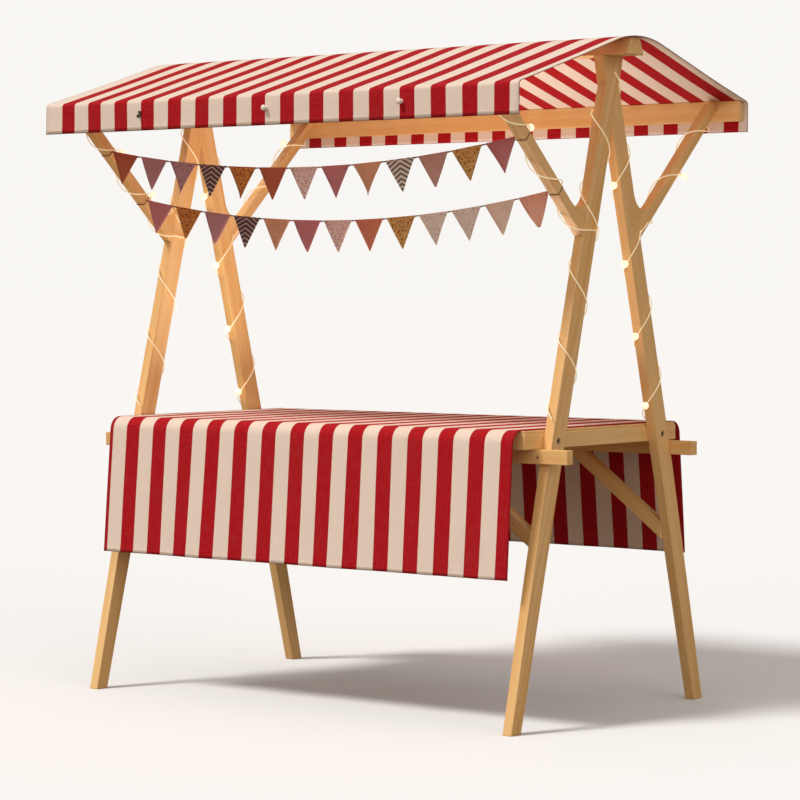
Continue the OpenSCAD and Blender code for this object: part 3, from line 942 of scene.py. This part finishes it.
def lashing(middle):
    """A turn of cord round a brace, square with rounded corners."""
    reach = brace_half + LASHING_D * 0.45
    loop = []
    for step in range(48):
        a = tau * step / 48
        box = max(abs(cos(a)), abs(sin(a)))
        radius = reach * min(1 / box, 1.36)
        loop.append(middle + Vector((radius * cos(a), 0, 0)) + brace_out * (radius * sin(a)))
    return loop


loops = []
for line in lines.values():
    for end_sign in (-1, 1):
        end = line.at(line.end_x)
        loops.append(lashing(Vector((end_sign * brace_x, end.y, end.z))))
lashings = drawn_cord("line_lashings", loops, LASHING_D, closed=True)
lashings.data.materials.append(cord_finish)
set_up(lashings)
print(len(loops), "turns of lashing")

# %% [markdown]
# ## The string of lights
# A thin cream wire winds loosely up each leg, and where a brace begins a branch of it goes on up
# the brace. A winding is a helix: while it climbs, it goes round an oval that clears the timber's
# corners. Each wire is described by the places where it crosses the timber's right-hand face, once
# a turn, and between them the angle grows evenly. A small drift keeps it from looking like a
# spring. Globe lamps in short sockets sit on the wire, one a turn.

# %% Winding a wire
WIRE_D = 0.0040
WIRE_STEP = 0.0055
WANDER = 0.005
LAMPS_FROM_END = 0.02
CROTCH_Z = 1.898
HEAD_LOW = 1.87
HEAD_RISE = 0.12
LEG_W = 0.073
LEG_OUT = Vector((0, 0.967, 0.254))
BRACE_OVAL = 0.036
leg_low, leg_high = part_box("rear_right_leg")
leg_t = leg_high.x - leg_low.x
leg_x = leg_high.x - leg_t / 2
wire_x = leg_t / 2 * sqrt(2) + 0.003


class Winding:
    """A wire round one timber of a corner, known by the runs at which it crosses the right face.

    For each run, the axis says where the timber's middle is, which way is outwards, and how far
    the oval reaches each way.
    """

    def __init__(self, crossings, axis, side_sign, end_sign, seed):
        self.crossings = crossings
        self.axis = axis
        self.side_sign = side_sign
        self.x = end_sign * leg_x
        self.seed = seed

    def turns_at(self, run):
        """How many turns the wire has made after a run."""
        ends = list(zip(self.crossings, self.crossings[1:]))
        for number, (low, high) in enumerate(ends):
            if run < high or number == len(ends) - 1:
                return number + (run - low) / (high - low)

    def run_at(self, turns):
        """The run at which it has made that many turns."""
        number = min(max(int(turns // 1), 0), len(self.crossings) - 2)
        low, high = self.crossings[number], self.crossings[number + 1]
        return low + (turns - number) * (high - low)

    def drift(self, run):
        """A small wander. It is the same each time the script runs, which noise_vector's isn't."""
        spots = [Vector((run * 9, self.seed * 3.1, part * 7.3)) for part in (1, 2, 3)]
        return Vector([noise.noise(spot) for spot in spots]) * WANDER

    def at(self, run, turns, drift=Vector()):
        """A place on the oval, and the way out from the timber's middle."""
        middle, out, half_x, half_y = self.axis(run)
        way = out * (half_y * sin(tau * turns)) + Vector((half_x * cos(tau * turns), 0, 0))
        spot = middle + way + drift
        return (Vector((self.x + spot.x, self.side_sign * spot.y, spot.z)),
                Vector((way.x, self.side_sign * way.y, way.z)))

    def wire(self, start, stop):
        """The wire's places from one run to another."""
        runs = [start + step * WIRE_STEP for step in range(round((stop - start) / WIRE_STEP) + 1)]
        return [self.at(run, self.turns_at(run), self.drift(run))[0] for run in runs]

    def lamps(self, share, start, stop):
        """Where lamps sit between two runs, at that share of each turn, and the way they point."""
        runs = [self.run_at(number + share) for number in range(-1, len(self.crossings) + 1)]
        return [self.at(run, share) for run in runs
                if start + LAMPS_FROM_END < run < stop - LAMPS_FROM_END]


def leg_axis(z):
    """The oval round a leg at a height. Near the head it widens to take in both legs."""
    inner = LEG_LEAN * (CROTCH_Z - z)
    both = min(1.0, max(0.0, (z - HEAD_LOW) / HEAD_RISE))
    both = both * both * (3 - 2 * both)
    alone = LEG_W / 2 * sqrt(2) + 0.002
    together = max(inner + LEG_W, -inner) * sqrt(2) + 0.004
    middle = Vector((0, (inner + LEG_W / 2) * (1 - both), z))
    return middle, LEG_OUT, wire_x, alone * (1 - both) + together * both


brace_foot_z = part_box("rear_right_canopy_brace")[0].z
brace_foot_y = LEG_LEAN * (CROTCH_Z - brace_foot_z) + LEG_W
brace_climb = Vector((0, cos(BRACE_ANGLE), sin(BRACE_ANGLE)))
brace_under = Vector((0, sin(BRACE_ANGLE), -cos(BRACE_ANGLE)))
brace_start = Vector((0, brace_foot_y, brace_foot_z)) - brace_under * brace_half


def brace_axis(run):
    """The oval round a brace, after a run along it from its foot."""
    return brace_start + brace_climb * run, brace_under, wire_x + 0.002, BRACE_OVAL


# %% The windings of each corner
LEG_WIRE_LOW = 0.962
LEG_WIRE_TOP = {"front": 2.075, "rear": 1.86}
BRACE_WIRE_TOP = 0.585
BRANCH_TURNS = {"front": 2.89, "rear": 2.11}
CROSSINGS = {
    ("front", "right"): ([0.923, 1.145, 1.367, 1.605, 1.862, 2.07], [0.010, 0.238, 0.482]),
    ("rear", "right"): ([1.062, 1.290, 1.527, 1.783, 2.02], [0.050, 0.290, 0.515]),
    ("front", "left"): ([0.930, 1.150, 1.365, 1.600, 1.855, 2.07], [0.010, 0.222, 0.435]),
    ("rear", "left"): ([1.070, 1.300, 1.530, 1.780, 2.02], [0.060, 0.290, 0.520]),
}
windings = {}
wires = []
for (side, end), (on_leg, on_brace) in CROSSINGS.items():
    side_sign, end_sign = dict(SIDES)[side], dict(ENDS)[end]
    seed = end_sign * 2 + side_sign
    leg_winding = Winding(on_leg, leg_axis, side_sign, end_sign, seed)
    brace_winding = Winding(on_brace, brace_axis, side_sign, end_sign, seed + 7)
    windings[(side, end)] = leg_winding, brace_winding
    up_leg = leg_winding.wire(LEG_WIRE_LOW, LEG_WIRE_TOP[side])
    fork = round((leg_winding.run_at(BRANCH_TURNS[side]) - LEG_WIRE_LOW) / WIRE_STEP)
    up_brace = [up_leg[fork], *brace_winding.wire(on_brace[0], BRACE_WIRE_TOP)]
    wire = drawn_cord(f"{side}_{end}_wire", [up_leg, up_brace], WIRE_D)
    head = [f"{end}_head_light_wire"] if side == "front" else []
    wires.append(set_up(wire, [f"{side}_{end}_light_wire", *head]))
    print(side, end, "wire:", round(run_of(up_leg) + run_of(up_brace), 2), "m")


# %% [markdown]
# ## Wire, sockets and globes
# The wire's jacket is cream plastic with a faint painted glow, which the lamp sockets share, and the
# globes are small frosted lamps that glow a warm white. A globe is turned on the lathe with its
# socket, then set on the wire so that it points away from the timber.


# %% The wire's finish and the globes'
def glowing(name, code, strength):
    """Frosted glass lit from inside."""
    finish = Finish(name)
    haze = finish.clouds(finish.place(), 120, 2)
    tone = finish.mix(haze * 0.5, paint(code), paint("FFFFFF"))
    return finish.surface(Base_Color=tone, Roughness=0.30 + haze * 0.1, Coat_Weight=0.5,
                          Emission_Color=tone, Emission_Strength=strength)


def cream_plastic_with_painted_glow(name):
    """Cream wire jacket with faint scuffs, and a faint painted glow though it is no lamp."""
    finish = Finish(name)
    scuffs = finish.clouds(finish.place(), 260, 2)
    tone = finish.mix(scuffs * 0.3, paint("FFF3D6"), paint("E8D2A4"))
    # Painted glow: the jacket, and the lamp sockets that share this finish, give off a faint light
    # of their own.
    return finish.surface(Base_Color=tone, Roughness=0.42 + scuffs * 0.2, relief=scuffs,
                          depth=0.0001, Emission_Color=paint("FFE7B8"), Emission_Strength=0.30)


wire_finish = cream_plastic_with_painted_glow("wire_cream_painted_glow")
for wire in wires:
    wire.data.materials.append(wire_finish)
globe_finish = glowing("globe_glass", "FFE3B0", 0.9)


# %% The globe lamps
LAMP_D = 0.025
LOWEST_LAMP = LEG_WIRE_LOW + 0.03
HIGHEST_LAMP = LEG_WIRE_TOP["rear"]
# For each corner: the share of a turn at which lamps sit on the leg, the same on the brace, and
# the stretch of the brace that carries lamps.
LAMP_TURNS = {
    ("front", "right"): (0.62, -0.27, 0.38, 0.56),
    ("rear", "right"): (-0.20, 0.06, 0.10, 0.45),
    ("front", "left"): (0.52, -0.27, 0.10, 0.40),
    ("rear", "left"): (-0.20, -0.22, 0.38, 0.56),
}


def lamp():
    """A globe on a short ribbed socket. Its origin is on the wire and Z points outwards."""
    r = LAMP_D / 2
    middle = r + 0.0035
    arc = [(r * sin(a), middle + r * cos(a)) for a in [radians(t) for t in range(0, 160, 13)]]
    globe = turned([*arc, (0.0040, 0.0045), (0, 0.0045)], 24, 0)
    socket = turned([(0, -0.002), (0.0034, -0.002), (0.0040, 0.0), (0.0036, 0.0015),
                     (0.0046, 0.0028), (0.0046, 0.0050), (0, 0.0050)], 16, 1)
    return joined([globe, socket])


for end in dict(ENDS):
    forms = []
    for side in dict(SIDES):
        on_leg, on_brace = windings[(side, end)]
        leg_turn, brace_turn, lowest, highest = LAMP_TURNS[(side, end)]
        spots = on_leg.lamps(leg_turn, LOWEST_LAMP, HIGHEST_LAMP)
        spots += on_brace.lamps(brace_turn, lowest, highest)
        forms += [moved(lamp(), facing(spot, way)) for spot, way in spots]
    print(len(forms), "lamps at the", end, "end")
    piece_from(joined(forms), f"{end}_lamps", globe_finish, wire_finish,
               slot="lamp_globe", stands_for=[f"{end}_globe_lamps"])

# %% [markdown]
# ## The valance knobs
# A few turned knobs are sewn to each valance, and the left one in front is a small steel hook. A
# knob starts as a profile on the lathe: a disc against the cloth, a neck and a flattened ball. The
# hook starts as a flat plate, whose lower edge is drawn out and bent up in steps.

# %% The valance knobs
KNOB_PITCH = 0.552
knob_low, knob_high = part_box("valance_knobs")
knob_z = (knob_low.z + knob_high.z) / 2
knob_outline = [(0, -0.001), (0.0075, -0.001), (0.0080, 0.0006), (0.0050, 0.0016), (0.0042, 0.004),
                (0.0060, 0.0062), (0.0092, 0.0088), (0.0100, 0.0120), (0.0088, 0.0155),
                (0.0055, 0.0180), (0, 0.0190)]


def enamel(name, code):
    """Smooth pale enamel with faint clouds."""
    finish = Finish(name)
    cloud = finish.clouds(finish.place(), 160, 3)
    tone = finish.mix(cloud * 0.35, paint(code), paint("C9B8A0"))
    return finish.surface(Base_Color=tone, Roughness=0.28 + cloud * 0.15, Coat_Weight=0.4,
                          relief=cloud, depth=0.0002)


def hook():
    """A flat plate with a hook bent up from its lower edge. Z points away from the cloth."""
    plate = bmesh.new()
    bmesh.ops.create_grid(plate, x_segments=1, y_segments=1, size=0.5)
    bmesh.ops.scale(plate, vec=(0.014, 0.020, 1), verts=plate.verts)
    narrow = [corner for corner in plate.verts if corner.co.y < 0]
    bmesh.ops.scale(plate, vec=(0.6, 1, 1), verts=narrow)
    lower = [edge for edge in plate.edges if all(corner in narrow for corner in edge.verts)]
    for step in ((0, -0.003, 0.004), (0, 0, 0.005), (0, 0.005, 0.003), (0, 0.005, 0.0)):
        grown = bmesh.ops.extrude_edge_only(plate, edges=lower)["geom"]
        corners = [part for part in grown if isinstance(part, bmesh.types.BMVert)]
        lower = [part for part in grown if isinstance(part, bmesh.types.BMEdge)]
        bmesh.ops.translate(plate, verts=corners, vec=step)
    bmesh.ops.recalc_face_normals(plate, faces=plate.faces)
    bmesh.ops.solidify(plate, geom=plate.faces[:], thickness=0.0018)
    bmesh.ops.recalc_face_normals(plate, faces=plate.faces)
    sharp = [edge for edge in plate.edges if edge.calc_face_angle(0) > radians(60)]
    bmesh.ops.bevel(plate, geom=sharp, offset=0.0005, segments=2, profile=0.5, affect="EDGES",
                    material=-1)
    return plate


knobs = []
for side_sign, place in ((-1, 0), (-1, 1), (1, -1), (1, 0), (1, 1)):
    at = Vector((place * KNOB_PITCH, side_sign * -roof_low.y, knob_z))
    knobs.append(moved(turned(knob_outline, 28), facing(at, (0, side_sign, 0))))
piece_from(joined(knobs), "knobs", enamel("knob_enamel", "F3EBDD"), slot="knob",
           stands_for=["valance_knobs"])
hook_at = Vector((-KNOB_PITCH, roof_low.y - 0.0012, knob_z))
upright = Matrix.Translation(hook_at) @ Matrix.Rotation(pi / 2, 4, "X")
piece_from(moved(hook(), upright), "valance_hook", steel("grey_steel", paint("6E6A66"), 0.5))
print(len(knobs), "knobs and a hook")

# %% [markdown]
# ## Floor and light
# The stall stands on a plain pale floor. The key light is a sun with a wide disc, from the
# customer's upper left: its shadows are soft, and the floor is as bright far away as it is near,
# which an area light can't do. Two weak and very wide suns fill the front and the right end. An
# area light that is hidden just above the table sends light up under the canopy, as the goods and
# lamps of a real stall do. The floor and the sky look paler than the light that they give, so the
# shadows keep their depth while the background stays pale. Colours are shown as they are mixed,
# without a film curve, so that the red stays a clear red.

# %% The floor
floor_form = bmesh.new()
bmesh.ops.create_grid(floor_form, x_segments=8, y_segments=8, size=300)
floor = bpy.data.objects.new("floor", mesh_of(floor_form, "floor"))
scene.collection.objects.link(floor)
floor_finish = Finish("pale_floor")
mottle = floor_finish.clouds(floor_finish.place(), 1.4, 3)
floor_pale = floor_finish.mix(mottle * 0.15, paint("FAFBFE"), paint("F1F3F7"))
seen_by_eye = floor_finish.node("ShaderNodeLightPath", {}, out="Is Camera Ray")
floor_tone = floor_finish.mix(seen_by_eye, paint("8C8276"), floor_pale)
floor.data.materials.append(floor_finish.surface(Base_Color=floor_tone, Roughness=0.9,
                                                 Specular_IOR_Level=0.0))
print("the floor is", round(floor.dimensions.x), "m wide")

# %% The sky
SKY_STRENGTH = 0.38
sky = Finish("pale_sky", "worlds")
lit = sky.node("ShaderNodeBackground", {"Color": (1.0, 0.95, 0.88, 1), "Strength": SKY_STRENGTH})
seen = sky.node("ShaderNodeBackground", {"Color": (0.945, 0.925, 0.895, 1)})
seen_by_eye = sky.node("ShaderNodeLightPath", {}, out="Is Camera Ray")
choice = sky.node("ShaderNodeMixShader", {0: seen_by_eye, 1: lit, 2: seen})
scene.world = sky.ended(choice, "ShaderNodeOutputWorld")
scene.view_settings.view_transform = "Standard"
print("the sky lights with", SKY_STRENGTH)


# %% The lights
UPLIGHT_ABOVE_TABLE = 0.06


def light(name, kind, power, colour, turn, **settings):
    """A studio light. Settings are its width and shape, in the words of its kind."""
    data = bpy.data.lights.new(name, kind)
    for setting, value in {"energy": power, "color": colour, **settings}.items():
        setattr(data, setting, value)
    made = bpy.data.objects.new(name, data)
    made.rotation_euler = turn
    scene.collection.objects.link(made)
    return made


def aimed(*towards):
    """The turn that points a light that way."""
    return Vector(towards).to_track_quat("-Z", "Y").to_euler()


light("key", "SUN", 2.1, (1.0, 0.97, 0.92), aimed(0.36, 0.72, -1.10), angle=radians(14))
light("front fill", "SUN", 0.35, (1.0, 0.96, 0.90), aimed(-0.15, 1.0, -0.30), angle=radians(40))
light("end fill", "SUN", 0.5, (1.0, 0.95, 0.88), aimed(-0.85, 0.35, -0.35), angle=radians(40))
uplight = light("uplight", "AREA", 9.5, (1.0, 0.95, 0.86), (pi, 0, 0), shape="RECTANGLE", size=1.5,
                size_y=0.5, spread=radians(125))
uplight.location = (0, 0, table_top_z + UPLIGHT_ABOVE_TABLE)
uplight.visible_camera = False
print("lit by a key, two fills and an uplight on the table")
